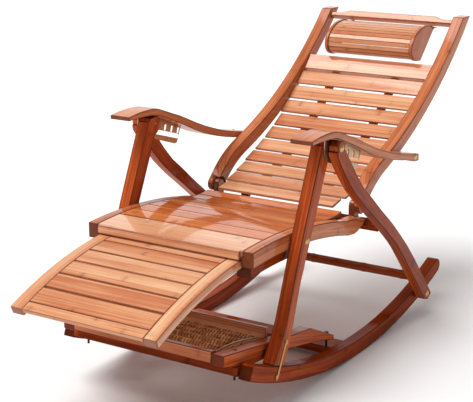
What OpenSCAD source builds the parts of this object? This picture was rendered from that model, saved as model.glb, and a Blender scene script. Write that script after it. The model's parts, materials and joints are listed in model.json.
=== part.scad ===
// Folding bamboo rocking chair with a pull-out footrest and a foot roller tray.
// X runs across the chair, -Y is the front and Z is up.
// The sitter's left is +X. All sizes are in millimetres.

/* [Widths] */
// Overall width of the seat over its side rails
seat_w = 494; // [440:1:540]
// Thickness of the seat and back side rails
rail_t = 35; // [28:1:42]
// Space between a seat rail and the front leg beside it
side_gap = 2; // [1.5:0.5:4]
// Thickness of the front legs and of the rockers
leg_t = 34; // [28:1:40]
// Space between a front leg and the rear leg beside it
plate_gap = 6; // [5.5:0.5:9]
// Thickness of the rear legs
rear_leg_t = 28; // [22:1:34]

/* [Rockers] */
// Radius of the rockers' rolling edge
rocker_r = 1500; // [1350:10:1700]
// Height of a rocker board
rocker_h = 42; // [38:1:48]
// Reach of the rockers in front of the point they rest on
rocker_front = 604; // [590:1:640]
// Reach of the rockers behind the point they rest on
rocker_rear = 496; // [470:1:540]
// Depth of the front cross rail
front_cross_d = 50; // [36:1:56]
// Depth of the rear cross rail
rear_cross_d = 67; // [50:1:76]
// Thickness of the cross rails between the rockers
cross_t = 22; // [16:1:26]

/* [Seat] */
// Curve radius of the seat's top
seat_r = 1577; // [1500:1:1650]
// Height of the seat side rails
seat_rail_h = 40; // [36:1:44]
// Thickness of the seat slats
seat_slat_t = 14; // [10:1:16]
// Height of the rounded lip on the front slat
front_lip_h = 24; // [16:1:24]
// Depth of the front slat
front_slat_d = 102; // [90:1:104]
// Distance from one seat slat to the next
seat_pitch = 62; // [56:1:62]
// Gap between seat slats
slat_gap = 2.5; // [1.5:0.5:5]
// Width of the ledge in the rails that carries the slats
ledge_w = 6; // [4:0.5:9]
// Curve radius of the last two slats, which rise toward the back
rise_r = 295; // [270:1:330]
// Thickness of those two slats
rise_t = 10; // [7:0.5:12]
// Thickness of the cross rail that carries them
seat_cross_t = 18; // [16:1:20]

/* [Back] */
// Curve radius of the back side rails, at mid depth
back_rail_r = 1397; // [1390:1:1404]
// Depth of the back side rails
back_rail_d = 38; // [32:1:42]
// Height of the back rails' tops above the floor
back_top = 845; // [842:1:850]
// Curve radius of the back's slatted face
back_r = 1050; // [1044:1:1056]
// Thickness of the back slats
back_slat_t = 7; // [5:0.5:9]
// Distance from one back slat to the next
back_pitch = 62; // [60:1:62]
// Gap between back slats
back_gap = 10; // [5:0.5:12]
// Depth of the cross rail above the slats
back_cross_d = 56; // [40:1:58]
// Width of the battens behind the slats
batten_w = 24; // [16:1:34]
// Thickness of the battens behind the slats
batten_t = 14; // [10:1:16]
// Distance between the battens' centre lines
batten_span = 204; // [150:2:260]
// Thickness of the arched top rail
top_rail_t = 20; // [14:1:24]
// Height of the top rail at its ends
top_rail_h = 15; // [13:1:16]
// Rise of the top rail's middle over its ends
top_rail_rise = 10; // [4:1:12]

/* [Head pillow] */
// Length of the head pillow across the chair
pillow_w = 300; // [220:2:360]
// Thickness of the pillow's end boards
pillow_end_t = 12; // [8:1:20]
// Number of narrow slats round the pillow
pillow_slat_n = 18; // [14:1:20]
// Thickness of the pillow's slats
pillow_slat_t = 6; // [4:0.5:7]
// Height of the end boards' rims over the slats
pillow_rim = 2.5; // [1:0.5:4]

/* [Arms] */
// Width of an armrest
arm_w = 63; // [50:1:80]
// Length of the arm that stands behind the arm pivot
arm_tail = 25; // [20:1:40]
// Thickness of the steel rack plates
plate_t = 3; // [1.5:0.5:4]
// Distance between the notches of a rack
notch_pitch = 32.5; // [28:0.5:33]
// Width of a notch
notch_w = 12; // [9:0.5:14]

/* [Footrest] */
// Curve radius of the footrest's top
footrest_r = 1100; // [1090:1:1106]
// Thickness of the footrest's side rails
footrest_t = 22; // [20:1:24]
// Width of the footrest's side rails
footrest_rail_w = 36; // [26:1:44]
// Space between the footrest and the seat rails
footrest_gap = 2; // [1:0.5:4]
// Thickness of the footrest's slats
footrest_slat_t = 12; // [8:1:14]
// Distance from one footrest slat to the next
footrest_pitch = 60; // [58:1:62]
// Gap between footrest slats
footrest_slat_gap = 5; // [2:0.5:6]
// Width of the battens under the footrest's slats
footrest_batten_w = 24; // [16:1:34]
// Height of the blocks that guide the footrest under the seat
runner_h = 28; // [26:1:34]
// Width of those blocks under the seat rails
runner_w = 40; // [30:1:44]

/* [Foot roller tray] */
// Overall width of the tray
tray_w = 480; // [440:1:486]
// Thickness of the tray's side rails
tray_rail_t = 35; // [30:1:40]
// Length between the tray's front rail and its back board
tray_len = 229; // [222:1:232]
// Thickness of the tray's front rail
tray_front_t = 22; // [16:1:24]
// Thickness of the tray's back board
tray_board_t = 14; // [10:1:20]
// Height of the tray's back board
tray_board_h = 58; // [40:1:64]
// Thickness of the arched ribs
rib_t = 10; // [8:1:14]
// Radius of a roller
roller_r = 11; // [8:0.5:13]
// Distance from one roller to the next
roller_pitch = 40; // [34:1:42]
// Diameter of a roller's axle
axle_d = 6; // [4:0.5:7]

/* [Pole and rest bar] */
// Diameter of the bamboo pole between the rear legs
pole_d = 28; // [20:1:32]
// Depth of the bar that the seat rests on
rest_bar_d = 34; // [28:1:38]
// Thickness of the bar that the seat rests on
rest_bar_t = 18; // [12:1:20]

/* [Hardware] */
// Diameter of the frame bolts
bolt_d = 8; // [6:0.5:10]
// Diameter of the frame bolts' domed heads
head_d = 20; // [14:1:24]
// Height of the domed heads
head_h = 4; // [3:0.5:5]
// Radial clearance of a turning bolt in its hole
fit = 0.05; // [0.03:0.01:0.1]
// Diameter of the tray bolts
tray_bolt_d = 6; // [5:0.5:8]
// Thickness of the brass hooks
hook_t = 1.5; // [1:0.25:2]
// Width of the brass hooks
hook_w = 7; // [5:0.5:8]
// Diameter of the pin that a hook catches
hook_pin_d = 5; // [4:0.5:5.5]

/* [Hidden] */
$fn = 96;
ARC = 720;

// Planes across the chair, all measured outward from the middle
rail_out = seat_w / 2;
rail_in = rail_out - rail_t;
leg_in = rail_out + side_gap;
leg_out = leg_in + leg_t;
rear_in = leg_out + plate_gap;
rear_out = rear_in + rear_leg_t;
plate_in = leg_out + (plate_gap - plate_t) / 2;
arm_in = leg_in - 7;
arm_out = arm_in + arm_w;
snug = 0.3;

// Pivots, as [Y, Z]
T = [-162, 625];
F = [-272, 408];
K = [415, 68];
S = [105, 400];
E = [-374, 174];
P = [-421, 100];

// The centre of radius r for an arc from a to b that bends to the left
function arc_centre(a, b, r) = (a + b) / 2 + sqrt(r * r - (b - a) * (b - a) / 4) * [a[1] - b[1], b[0] - a[0]] / norm(b - a);

// Centres of the curves, as [Y, Z]
seat_front = -470;
back_foot = [46, 407.2];
back_head = [595, 675];
rocker_c = [70, rocker_r];
seat_c = arc_centre([20, 380.5], [seat_front, 423.2], seat_r);
footrest_c = [-374, 402 - footrest_r];
back_c = arc_centre(back_foot, back_head, back_r);

// The arms hold the back rails at this point, this many degrees round from the curve's foot
arm_hold = [313.8, 516.4];
arm_hold_a = 21.8;
back_rail_c = arm_hold + back_rail_r * [-sin(arm_hold_a), cos(arm_hold_a)];

// Overall depth, so that the origin stands under the middle of the chair
y_front = -814.9;
footrest_front_a = asin((y_front - footrest_c[0]) / footrest_r);
rail_outer_r = back_rail_r + back_rail_d / 2;
rail_inner_r = back_rail_r - back_rail_d / 2;
y_rear = back_rail_c[0] + sqrt(pow(rail_outer_r, 2) - pow(back_rail_c[1] - back_top, 2));
y_middle = (y_front + y_rear) / 2;

function arc_deg(len, r) = len / r * 180 / PI;
function above(c, r, a) = [c[0] + r * sin(a), c[1] + r * cos(a)];
function below(c, r, a) = [c[0] + r * sin(a), c[1] - r * cos(a)];
function angle_of(v) = atan2(v[1], v[0]);

// Rounds a line of points off by cutting its corners
function cut_corners(p) = [
  p[0], for (i = [0:len(p) - 2]) for (k = [0.25, 0.75]) p[i] + k * (p[i + 1] - p[i]), p[len(p) - 1]
];

// The arms turn on bolts that pass through the rear half of the back rails
A = below(back_rail_c, back_rail_r + 11.2, arm_hold_a);

// The pillow's hinge line lies just behind the top rail
top_rail_a = acos((back_rail_c[1] - back_top + 22) / back_rail_r);
knuckle_d = 6;
hinge_air = 1.2;
H = below(back_rail_c, back_rail_r + (top_rail_t + knuckle_d) / 2 + hinge_air, top_rail_a - 0.36);

// Puts the finished piece over the origin
module placed() translate([0, -y_middle, 0]) children();

// Draws a side profile, given as [Y, Z], as a solid from x0 to x1
module across(x0, x1) {
  translate([x0, 0, 0]) rotate([90, 0, 90]) linear_extrude(x1 - x0) children();
}

// The sitter's left piece, or its mirror image
module side(s) {
  if (s > 0) children();
  else mirror([1, 0, 0]) children();
}

module pair() {
  for (s = [1, -1]) side(s) children();
}

// Part of a ring round c, between the angles a0 and a1 from straight up
module crown(c, r0, r1, a0, a1) {
  intersection() {
    difference() {
      translate(c) circle(r1, $fn = ARC);
      translate(c) circle(r0, $fn = ARC);
    }
    polygon([c, above(c, 1.4 * r1, a0), above(c, 1.4 * r1, a1)]);
  }
}

// Part of a ring round c, between the angles a0 and a1 from straight down
module bowl(c, r0, r1, a0, a1) {
  intersection() {
    difference() {
      translate(c) circle(r1, $fn = ARC);
      translate(c) circle(r0, $fn = ARC);
    }
    polygon([c, below(c, 1.4 * r1, a0), below(c, 1.4 * r1, a1)]);
  }
}

// A rod along X between x0 and x1, through the point q
module rod(q, d, x0, x1) {
  translate([x0, q[0], q[1]]) rotate([0, 90, 0]) cylinder(h = x1 - x0, d = d);
}

// A domed bolt head whose flat side lies at x0, bulging outward
module dome(q, x0) {
  dome_r = (pow(head_d / 2, 2) + pow(head_h, 2)) / (2 * head_h);
  translate([x0, q[0], q[1]]) rotate([0, 90, 0]) intersection() {
    translate([0, 0, head_h - dome_r]) sphere(dome_r);
    cylinder(h = head_h, d = head_d);
  }
}

// ROCKERS AND THE RAILS BETWEEN THEM
rocker_in_r = rocker_r - rocker_h;
rocker_mid_r = rocker_r - rocker_h / 2;
rocker_rear_a = asin(rocker_rear / rocker_mid_r);

module rocker_profile() {
  difference() {
    union() {
      bowl(rocker_c, rocker_in_r, rocker_r, -asin(rocker_front / rocker_mid_r), rocker_rear_a);
      translate(below(rocker_c, rocker_mid_r, rocker_rear_a)) circle(d = rocker_h);
    }
    translate(below(rocker_c, rocker_in_r, -asin(rocker_front / rocker_mid_r))) rotate(-68) square(12, center = true);
  }
}

module rocker() {
  difference() {
    across(leg_in, leg_out) rocker_profile();
    rod(K, bolt_d + 2 * fit, leg_in - 1, leg_out + 1);
    rod(P, hook_pin_d, leg_out - 14, leg_out + 1);
  }
}

module left_rocker() color("#a85a30") side(1) rocker();
module right_rocker() color("#a85a30") side(-1) rocker();

tray_slope = -9.8;
cross_slope = -18.4;
front_cross_c = [-518.5, 139.3];
rear_cross_c = [-17, 27];

module front_cross_rail() {
  color("#9c5028") difference() {
    across(-leg_in, leg_in) translate(front_cross_c) rotate(cross_slope) square([front_cross_d, cross_t], center = true);
    pair() translate([tray_bolt_x, tray_bolt_front, 0]) cylinder(h = 400, d = tray_bolt_d);
  }
}

module rear_cross_rail() {
  color("#9c5028") difference() {
    across(-leg_in, leg_in) translate(rear_cross_c) square([rear_cross_d, cross_t], center = true);
    pair() translate([tray_bolt_x, tray_bolt_rear, -1]) cylinder(h = 400, d = tray_bolt_d);
  }
}

// REAR LEGS, WITH THE POLE AND THE SEAT'S REST BAR
rear_leg_under = [
  [-183, 618], [-180, 600], [-108, 514], [-43, 457], [10, 418], [90, 358], [174, 293], [217, 252], [340, 121], [400, 54]
];
rear_leg_over = [
  [447, 61], [417, 95], [283, 239], [190, 322], [143, 361], [81, 407], [22, 455], [-45, 506], [-141, 618]
];
rear_leg_points = concat(cut_corners(rear_leg_under), [[424, 47]], cut_corners(rear_leg_over));
pole_c = [345, 139];
rest_bar_slope = 20;
rest_bar_top = [124, 351.2];
rest_bar_c = rest_bar_top + [6, 2.2] + (rest_bar_t / 2 + snug) * [sin(rest_bar_slope), -cos(rest_bar_slope)];
joint_r = 20;

module rear_leg() {
  difference() {
    across(rear_in, rear_out) union() {
      polygon(rear_leg_points);
      translate(T) circle(joint_r - 1);
    }
    rod(T, bolt_d, rear_in - 1, rear_out + 1);
    rod(K, bolt_d, rear_in - 1, rear_out + 1);
  }
}

module left_rear_leg() color("#b4623c") side(1) rear_leg();
module right_rear_leg() color("#b4623c") side(-1) rear_leg();

module bamboo_pole() color("#4a2416") rod(pole_c, pole_d, -rear_in, rear_in);

module seat_rest_bar() {
  color("#4a2416") across(-rear_in, rear_in) translate(rest_bar_c) rotate(rest_bar_slope)
    square([rest_bar_d, rest_bar_t], center = true);
}

// FRONT LEGS
front_leg_points = [
  [-205, 620], [-200, 635], [-188, 643], [-162, 645], [-142, 625], [-147, 606], [-168, 592],
  [-240, 437], [-303, 302], [-335, 212], [-352, 170], [-384, 110], [-440, 110], [-430, 134], [-396, 180],
  [-371, 223], [-332, 322], [-290, 430]
];
foot_gap = 0.4;

module front_leg() {
  difference() {
    across(leg_in, leg_out) intersection() {
      union() {
        polygon(front_leg_points);
        translate(T) circle(joint_r);
      }
      translate(rocker_c) circle(rocker_in_r - foot_gap, $fn = ARC);
    }
    rod(T, bolt_d, leg_in - 1, leg_out + 1);
    rod(F, bolt_d, leg_in - 1, leg_out + 1);
    rod(E, 3, leg_out - 16, leg_out + 1);
  }
}

module left_front_leg() color("#b8683e") side(1) front_leg();
module right_front_leg() color("#b8683e") side(-1) front_leg();

// SEAT
seat_rear = 40;
seat_bottom_r = seat_r - seat_rail_h;
seat_ledge_r = seat_r - seat_slat_t;
rest_dir = [cos(rest_bar_slope), sin(rest_bar_slope)];
ear_r = 16;
ear_t = rail_t / 2 - 0.4;

module seat_rail_profile() {
  intersection() {
    crown(seat_c, seat_bottom_r, seat_r, -6, 15);
    translate([seat_front, 0]) square([30 - seat_front, 600]);
  }
  polygon([
    [20, seat_c[1] + sqrt(pow(seat_r, 2) - pow(20 - seat_c[0], 2))], [106, 370.5], [132, 354.1],
    rest_bar_top - 48 * rest_dir, [60, 333], [20, seat_c[1] + sqrt(pow(seat_bottom_r, 2) - pow(20 - seat_c[0], 2))]
  ]);
}

module seat_rail() {
  difference() {
    union() {
      across(rail_in, rail_out) seat_rail_profile();
      across(rail_in, rail_in + ear_t) {
        translate(S) circle(ear_r);
        translate([S[0] - ear_r, 360]) square([2 * ear_r, S[1] - 360]);
      }
    }
    across(rail_in - 1, rail_in + ledge_w) intersection() {
      crown(seat_c, seat_ledge_r, seat_r + 5, -6, 16);
      translate([seat_front - 5, 0]) square([seat_rear - seat_front + 5.5, 600]);
    }
    rod(F, bolt_d + 2 * fit, rail_in + ledge_w + 0.5, rail_out + 1);
    rod(S, bolt_d - 2, rail_in - 1, rail_out);
  }
}

module left_seat_rail() color("#a4552e") side(1) seat_rail();
module right_seat_rail() color("#a4552e") side(-1) seat_rail();

slat_half = rail_in + ledge_w - snug;

function seat_slat_from(i) = -376 + seat_pitch * i;

module seat_slat_profile(y0, y1) {
  intersection() {
    crown(seat_c, seat_ledge_r + 0.05, seat_r, -6, 16);
    translate([y0, 0]) square([y1 - y0, 600]);
  }
}

module front_seat_slat() {
  color("#e2a878") {
    across(-slat_half, slat_half) seat_slat_profile(seat_front, seat_front - 8 + front_slat_d);
    across(-rail_in + snug, rail_in - snug) {
      seat_slat_profile(seat_front - 8, seat_front);
      translate([seat_front - 8, 425 - front_lip_h]) square([12, front_lip_h - 4]);
    }
  }
}

// The last two slats leave the rails' curve at this point and bend upward
rise_from = seat_slat_from(5);
rise_a = asin((rise_from - seat_c[0]) / seat_r);
rise_c = above(seat_c, seat_r + rise_r, rise_a);

module rise_profile(r0, r1, y0, y1) {
  intersection() {
    bowl(rise_c, r0, r1, -rise_a - 3, 20);
    translate([y0, 0]) square([y1 - y0, 600]);
  }
}

module seat_slats() {
  color("#e8b080") across(-slat_half, slat_half) {
    for (i = [0:4]) seat_slat_profile(seat_slat_from(i) + slat_gap, seat_slat_from(i + 1));
    for (i = [5:6])
      rise_profile(rise_r, rise_r + rise_t, seat_slat_from(i) + slat_gap, min(seat_slat_from(i + 1), seat_rear));
  }
}

module seat_cross_rail() {
  color("#8c4824") across(-rail_in, rail_in)
    rise_profile(rise_r + rise_t + 0.05, rise_r + rise_t + seat_cross_t, rise_from + 22, seat_rear - 8);
}

// FOOTREST AND ITS RUNNERS
footrest_out = rail_in - footrest_gap;
footrest_in = footrest_out - footrest_rail_w;
footrest_low_r = footrest_r - footrest_t;
footrest_mid_r = footrest_r - footrest_slat_t;
footrest_narrow = 30;
footrest_count = 6;
footrest_rear_a = footrest_front_a + arc_deg(footrest_narrow + footrest_count * footrest_pitch, footrest_r);

module footrest_runners() {
  color("#9c5028") pair() difference() {
    across(footrest_out - 14, footrest_out - 14 + runner_w) intersection() {
      crown(seat_c, seat_bottom_r - runner_h, seat_bottom_r, -6, 16);
      translate([-464, 0]) square([264, 600]);
    }
    across(footrest_out - 20, rail_in) difference() {
      translate(footrest_c) circle(footrest_r + 60, $fn = ARC);
      translate(footrest_c) circle(footrest_low_r - snug, $fn = ARC);
    }
  }
}

module footrest_rail() {
  across(footrest_in, footrest_out)
    crown(footrest_c, footrest_low_r, footrest_r, footrest_front_a, footrest_rear_a);
}

module left_footrest_rail() color("#b4683e") side(1) footrest_rail();
module right_footrest_rail() color("#b4683e") side(-1) footrest_rail();

module footrest_slat(s0, s1) {
  across(-footrest_in, footrest_in) crown(
    footrest_c, footrest_mid_r, footrest_r,
    footrest_front_a + arc_deg(s0, footrest_r), footrest_front_a + arc_deg(s1, footrest_r)
  );
}

module footrest_slats() {
  color("#e8b284") {
    footrest_slat(0, footrest_narrow - 1.5);
    for (i = [0:footrest_count - 1]) footrest_slat(
      footrest_narrow + i * footrest_pitch, footrest_narrow + (i + 1) * footrest_pitch - footrest_slat_gap
    );
  }
}

module footrest_battens() {
  color("#a4592f") for (k = [-1.5:1:1.5])
    translate([k * footrest_in / 2, 0, 0]) across(-footrest_batten_w / 2, footrest_batten_w / 2)
      crown(footrest_c, footrest_low_r + 0.5, footrest_mid_r - 0.05, footrest_front_a + 0.6, footrest_rear_a - 0.6);
}

// BACK
back_start_a = asin((back_foot[0] - back_c[0]) / back_r);
back_slat_n = 10;
back_end_a = back_start_a + back_slat_n * arc_deg(back_pitch, back_r);
toe_r = 20.5;

// Below this angle the rails bend the other way, down to the pins that carry the back
toe_a = 18.5;
toe_turn = below(back_rail_c, back_rail_r, toe_a);
toe_dir = [sin(toe_a), -cos(toe_a)];
toe_bend_r = (S - toe_turn) * (S - toe_turn) / (2 * (S - toe_turn) * toe_dir);
toe_c = toe_turn + toe_bend_r * toe_dir;
toe_end_a = atan2(S[0] - toe_c[0], S[1] - toe_c[1]);

module back_rail_profile() {
  difference() {
    bowl(back_rail_c, rail_inner_r, rail_outer_r, toe_a, 52);
    translate([600, back_top]) square([400, 200]);
  }
  crown(toe_c, toe_bend_r - back_rail_d / 2, toe_bend_r + back_rail_d / 2, toe_end_a, -toe_a);
  translate(S) circle(toe_r);
}

module back_rail() {
  difference() {
    across(rail_in, rail_out) back_rail_profile();
    across(rail_in - 1, rail_in + rail_t / 2 + 0.4) translate(S) circle(ear_r + 6);
    rod(S, bolt_d - 2 + 2 * fit, rail_in, rail_out - 3);
    rod(A, bolt_d + 2 * fit, rail_in + 2, rail_out + 1);
  }
}

module left_back_rail() color("#a85a32") side(1) back_rail();
module right_back_rail() color("#a85a32") side(-1) back_rail();

// The top rail is taller in the middle, with a sloped shoulder near each end
module top_rail() {
  q = below(back_rail_c, back_rail_r, top_rail_a);
  h = top_rail_h / 2;
  color("#e2a878") translate([0, q[0], q[1]]) rotate([top_rail_a, 0, 0])
    linear_extrude(top_rail_t, center = true) polygon([
      [-rail_in, -h], [rail_in, -h], [rail_in, h], [rail_in - 37, h], [rail_in - 62, h + top_rail_rise],
      [62 - rail_in, h + top_rail_rise], [37 - rail_in, h], [-rail_in, h]
    ]);
}

module back_cross_rail() {
  color("#dca070") across(-rail_in, rail_in)
    bowl(back_c, back_r, back_r + back_slat_t + batten_t, back_end_a, back_end_a + arc_deg(back_cross_d, back_r));
}

// How far each slat stops short of the rails, from the lowest one up
slat_trim = [26, 17, 12, 6, 6, 6, 6, 0, 0, 0];

module back_slats() {
  color("#e8b080") for (i = [0:back_slat_n - 1]) {
    half = rail_in - slat_trim[i];
    a0 = back_start_a + i * arc_deg(back_pitch, back_r);
    across(-half, half) bowl(back_c, back_r, back_r + back_slat_t, a0, a0 + arc_deg(back_pitch - back_gap, back_r));
  }
}

module back_battens() {
  color("#8c4824") for (s = [1, -1])
    translate([s * batten_span / 2, 0, 0]) across(-batten_w / 2, batten_w / 2)
      bowl(back_c, back_r + back_slat_t + 0.05, back_r + back_slat_t + batten_t, back_start_a + 0.4, back_end_a - 0.03);
}

// HEAD PILLOW, a D of narrow slats between two end boards
pillow_outline = [
  [-102, -91], [-144, -88], [-167, -70], [-172, -43], [-156, -16], [-123, 3], [-85, 13], [-42, 13], [-9, -3]
];

// The point at the distance s along a line of points, from the point i on
function along(p, s, i = 0) =
  let (d = norm(p[i + 1] - p[i]))
  s <= d || i > len(p) - 3 ? p[i] + (p[i + 1] - p[i]) * s / d : along(p, s - d, i + 1);

function length_of(p, i = 0) = i > len(p) - 2 ? 0 : norm(p[i + 1] - p[i]) + length_of(p, i + 1);

pillow_curve = cut_corners(cut_corners([for (p = pillow_outline) H + p]));
pillow_len = length_of(pillow_curve);
pillow_joints = [for (i = [0:pillow_slat_n]) along(pillow_curve, i * pillow_len / pillow_slat_n)];
pillow_top = H + pillow_outline[8];
pillow_back = H + pillow_outline[0] - pillow_top;
pillow_groove = 1.2;

// The direction of the slat i, and the joint i moved inward by t
function slat_dir(i) =
  let (k = max(0, min(i, pillow_slat_n - 1)), v = pillow_joints[k + 1] - pillow_joints[k]) v / norm(v);
function inset(i, t) =
  let (u = slat_dir(i - 1) + slat_dir(i), n = [u[1], -u[0]]) pillow_joints[i] + n * (2 * t / (n * n));

module pillow_ends() {
  color("#b06438") pair() across(pillow_w / 2 - pillow_end_t, pillow_w / 2) polygon(pillow_curve);
}

module pillow_slats() {
  half = pillow_w / 2 - pillow_end_t;
  color("#e4aa7a") for (i = [0:pillow_slat_n - 1]) {
    g = pillow_groove / 2 * slat_dir(i);
    across(-half, half) polygon([
      inset(i, pillow_rim) + g, inset(i + 1, pillow_rim) - g,
      inset(i + 1, pillow_rim + pillow_slat_t) - g, inset(i, pillow_rim + pillow_slat_t) + g
    ]);
  }
}

hinge_x = pillow_w / 2 - pillow_end_t / 2;
hinge_w = 24;

// The fixed leaf and the pin of each hinge, on the rear of the top rail
module pillow_hinges() {
  r = back_rail_r + top_rail_t / 2 + 0.1;
  color("#c8a050") pair() {
    rod(H, 3, hinge_x - hinge_w / 2, hinge_x + hinge_w / 2);
    rod(H, knuckle_d, hinge_x - hinge_w / 2, hinge_x - hinge_w / 6);
    across(hinge_x - hinge_w / 2, hinge_x - hinge_w / 6) polygon([
      H + [2.9, -0.6], H + [2.4, 1.8], below(back_rail_c, r + 1.4, top_rail_a + 0.6),
      below(back_rail_c, r, top_rail_a + 0.6), below(back_rail_c, r, top_rail_a - 0.38)
    ]);
  }
}

// The loose leaf of each hinge, on the back edge of a pillow end board
module pillow_hinge_leaves() {
  u = -pillow_back / norm(pillow_back);
  n = [u[1], -u[0]];
  p = pillow_top;
  color("#c8a050") pair() difference() {
    union() {
      rod(H, knuckle_d, hinge_x - hinge_w / 6 + snug, hinge_x + hinge_w / 6);
      across(hinge_x - hinge_w / 6 + snug, hinge_x + hinge_w / 6)
        polygon([H + [-2.9, 0.6], p - 8 * u, p - 34 * u, p - 34 * u + 1.5 * n, p - 8 * u + 1.5 * n, H + [0.6, -2.9]]);
    }
    rod(H, 3 + 2 * fit, hinge_x - hinge_w, hinge_x + hinge_w);
  }
}

// ARMRESTS AND RACK PLATES
arm_top = [
  [-293, 665], [-240, 671], [-172, 670], [-136, 658], [-95, 643], [-51, 628], [49, 585], [145, 553],
  [207, 537], [270, 524], [A[0] + arm_tail, 509]
];
arm_bottom = [
  [A[0] + arm_tail, 489], [A[0], 490], [270, 504], [205, 517], [140, 533], [45, 562], [-58, 608], [-101, 624],
  [-143, 642], [-176, 651], [-240, 655], [-293, 654]
];
rack_slope = -17;
rack_first = T;
rack_n = 6;

module armrest() {
  difference() {
    across(arm_in, arm_out) polygon(concat(cut_corners(arm_top), cut_corners(arm_bottom)));
    translate([arm_in - 1, 150, 400]) cube([leg_in + 0.5 - arm_in + 1, 300, 300]);
    across(plate_in - 0.05, plate_in + plate_t + 0.05) polygon(plate_points);
    rod(A, bolt_d + 2 * fit, leg_in - 5, arm_out + 1);
  }
}

module left_armrest() color("#c47a54") side(1) armrest();
module right_armrest() color("#c47a54") side(-1) armrest();

plate_points = [
  [-196, 664], [-197, 612], [-190, 594], [-178, 588], [-24, 538], [-14, 541], [-10, 550], [8, 592], [-60, 622], [-140, 652], [-172, 664]
];

// The toothed slot: a channel, with round-topped notches along its upper edge
module rack_slot() {
  translate(rack_first) rotate(rack_slope) {
    for (i = [0:rack_n - 1]) translate([i * notch_pitch, 0]) {
      circle(d = notch_w);
      translate([-notch_w / 2, -notch_w]) square([notch_w, notch_w]);
    }
    translate([-notch_w / 2, -27]) square([(rack_n - 1) * notch_pitch + notch_w, 13]);
  }
}

module rack_plate() {
  across(plate_in, plate_in + plate_t) difference() {
    polygon(plate_points);
    rack_slot();
  }
}

module left_rack_plate() color("#8a8a8a") side(1) rack_plate();
module right_rack_plate() color("#8a8a8a") side(-1) rack_plate();

// FOOT ROLLER TRAY
tray_out = tray_w / 2;
tray_in = tray_out - tray_rail_t;
tray_bolt_x = tray_out - tray_rail_t / 2;
tray_bolt_front = -515;
tray_bolt_rear = -45;
tray_c = [-452, 179];
tray_points = [
  [-590, 203], [-579, 201], [-354, 162], [-265, 147], [-165, 133], [-33, 70], [-33, 57], [-154, 89], [-290, 116],
  [-378, 129], [-480, 138.2], [-540, 158.1], [-579, 171], [-590, 175]
];
tray_u0 = -117;
tray_u1 = tray_u0 + tray_len;
rib_r = 684;
rib_rise = 7.5;

module tray_rail() {
  difference() {
    across(tray_in, tray_out) polygon(tray_points);
    translate([tray_bolt_x, tray_bolt_front, 100]) cylinder(h = 200, d = tray_bolt_d);
    translate([tray_bolt_x, tray_bolt_front, 176]) cylinder(h = 200, d = 15);
    translate([tray_bolt_x, tray_bolt_rear, 0]) cylinder(h = 200, d = tray_bolt_d);
    translate([tray_bolt_x, tray_bolt_rear, 76]) cylinder(h = 200, d = 15);
  }
}

module tray_left_rail() color("#b0643a") side(1) tray_rail();
module tray_right_rail() color("#b0643a") side(-1) tray_rail();

module in_tray() translate(tray_c) rotate(tray_slope) children();

module tray_front_rail() {
  color("#9c5028") across(-tray_in, tray_in) in_tray()
    translate([tray_u0 - tray_front_t, -24]) square([tray_front_t, 28]);
}

module tray_back_board() {
  color("#d69868") across(-tray_in, tray_in) in_tray()
    translate([tray_u1, 24 - tray_board_h]) square([tray_board_t, tray_board_h]);
}

function roller_at(k) = asin(k * roller_pitch / (rib_r - 7));
function roller_c(k) =
  let (a = roller_at(k), u = (rib_r - 7) * sin(a), v = rib_rise - rib_r + (rib_r - 7) * cos(a))
  tray_c + [u * cos(tray_slope) - v * sin(tray_slope), u * sin(tray_slope) + v * cos(tray_slope)];
rib_x = tray_in - 4 - rib_t / 2;

module tray_ribs() {
  color("#c07a4c") for (x = [-rib_x, 0, rib_x]) translate([x, 0, 0]) difference() {
    across(-rib_t / 2, rib_t / 2) in_tray() intersection() {
      translate([0, rib_rise - rib_r]) circle(rib_r, $fn = ARC);
      translate([tray_u0 + 0.05, -26]) square([tray_len - 0.1, 40]);
    }
    for (k = [-2:2]) rod(roller_c(k), axle_d + 2 * fit, -rib_t, rib_t);
  }
}

module roller(k) {
  color("#d8a06e") {
    rod(roller_c(k), axle_d, -tray_in + 1.5, tray_in - 1.5);
    pair() rod(roller_c(k), 2 * roller_r, rib_t / 2 + 2, rib_x - rib_t / 2 - 2);
  }
}

module roller_1() roller(-2);
module roller_2() roller(-1);
module roller_3() roller(0);
module roller_4() roller(1);
module roller_5() roller(2);

// BOLTS, PINS AND HOOKS
module rocker_bolts() {
  color("#b88a48") pair() {
    rod(K, bolt_d, leg_in + 1, rear_out + 1);
    rod(K, head_d - 2, leg_out + snug, rear_in);
    dome(K, rear_out);
  }
}

module top_pivot_bolts() {
  color("#b88a48") pair() {
    rod(T, bolt_d, plate_in + plate_t + snug, rear_out + 1);
    dome(T, rear_out);
  }
}

module rack_pins() color("#b88a48") pair() rod(T, bolt_d, leg_in + snug, plate_in - snug);

module seat_pivot_bolts() {
  color("#d8b060") pair() {
    rod(F, bolt_d, rail_in + ledge_w + 1, leg_out + 1);
    rod(F, head_d - 2, rail_out + 0.2, leg_in);
    dome(F, leg_out);
  }
}

module back_pivot_pins() color("#b88a48") pair() rod(S, bolt_d - 2, rail_in + 0.5, rail_out - 3.5);

module arm_pivot_bolts() {
  color("#b88a48") pair() {
    rod(A, bolt_d, rail_in + 3, arm_out + 1);
    dome(A, arm_out);
  }
}

module tray_bolts() {
  color("#1c1a18") pair() {
    translate([tray_bolt_x, tray_bolt_front, 112]) cylinder(h = 66, d = tray_bolt_d);
    translate([tray_bolt_x, tray_bolt_front, 176]) cylinder(h = 5, d = 12);
    translate([tray_bolt_x, tray_bolt_rear, 7]) cylinder(h = 71, d = tray_bolt_d);
    translate([tray_bolt_x, tray_bolt_rear, 76]) cylinder(h = 4, d = 12);
  }
}

hook_in = leg_out + snug;
catch_r = hook_pin_d / 2 + 1.5;

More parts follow.
